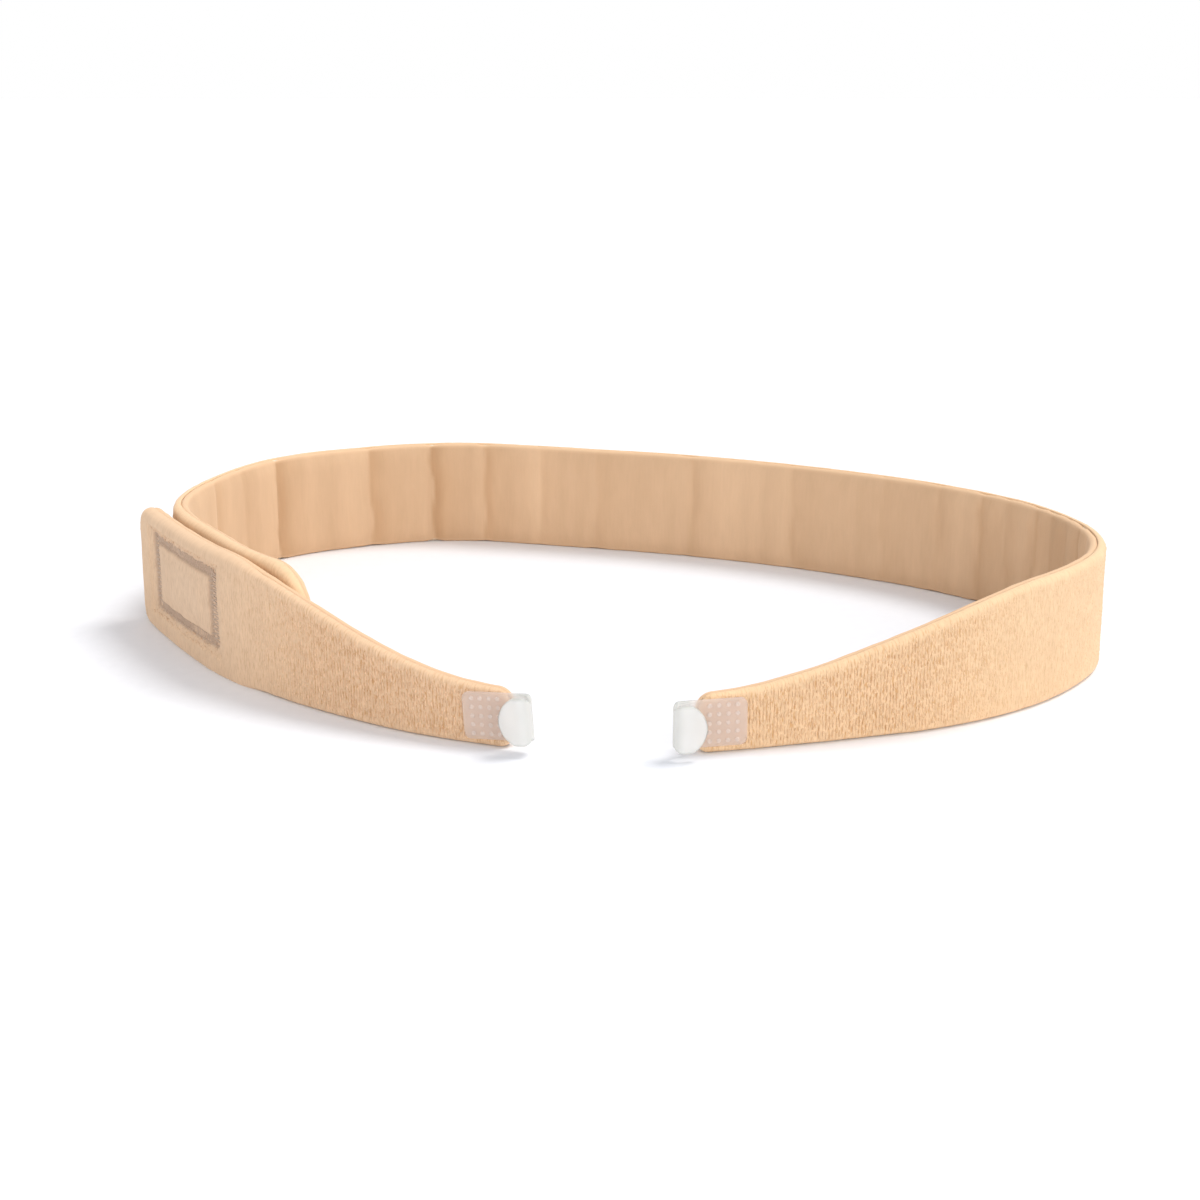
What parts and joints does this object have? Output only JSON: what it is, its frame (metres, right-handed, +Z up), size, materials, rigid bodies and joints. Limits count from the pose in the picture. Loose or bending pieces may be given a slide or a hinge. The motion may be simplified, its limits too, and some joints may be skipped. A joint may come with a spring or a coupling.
{
  "type": "padded neck holder band",
  "caption": "Padded neck-type holder band: two tapered fabric straps with a hook-and-loop side adjuster and a moulded J-hook at each front end.",
  "frame": {"origin": "centre of the bounding box in plan, on the surface the band's long edge stands on", "axes": "+Z up along the band's height; the open front faces -Y; +X to the right as seen from the front, along the longest extent"},
  "size_m": [0.2026, 0.1664, 0.025],
  "materials": {
    "facing": "looped terry pile, beige",
    "foam": "open-cell foam core, unseen",
    "lining": "smooth brushed knit, tan",
    "tape": "woven hook tape",
    "stitching": "zig-zag sewing thread, taupe",
    "moulding": "translucent white, satin"
  },
  "bodies": {
    "back": {"back_facing": "facing", "back_foam": "foam", "back_lining": "lining"},
    "right_arm": {"right_arm_facing": "facing", "right_arm_foam": "foam", "right_arm_lining": "lining", "right_hook_base": "moulding"},
    "right_finger": {"right_hook_finger": "moulding"},
    "left_strap": {"side_facing": "facing", "side_foam": "foam", "side_lining": "lining", "hook_tape": "tape", "tape_stitching": "stitching"},
    "left_arm": {"left_arm_facing": "facing", "left_arm_foam": "foam", "left_arm_lining": "lining", "left_hook_base": "moulding"},
    "left_finger": {"left_hook_finger": "moulding"}
  },
  "joints": [
    {"name": "right_arm_flex", "type": "hinge", "parent": "back", "child": "right_arm", "pos_m": [0.09832, -0.02379, 0], "axis": [0, 0, 1], "range_deg": [-15, 60], "stiffness_Nm_per_rad": 0.004},
    {"name": "right_finger_flex", "type": "hinge", "parent": "right_arm", "child": "right_finger", "pos_m": [0.0131, -0.08321, 0], "axis": [0, 0, -1], "range_deg": [0, 35], "stiffness_Nm_per_rad": 0.005},
    {"name": "side_closure", "type": "slide", "parent": "back", "child": "left_strap", "axis": [0.1736, -0.9848, 0], "range_m": [0, 0.045]},
    {"name": "left_arm_flex", "type": "hinge", "parent": "left_strap", "child": "left_arm", "pos_m": [-0.05361, -0.05408, 0], "axis": [0, 0, -1], "range_deg": [-15, 45], "stiffness_Nm_per_rad": 0.004},
    {"name": "left_finger_flex", "type": "hinge", "parent": "left_arm", "child": "left_finger", "pos_m": [-0.01583, -0.08056, 0], "axis": [0, 0, 1], "range_deg": [0, 35], "stiffness_Nm_per_rad": 0.005}
  ]
}
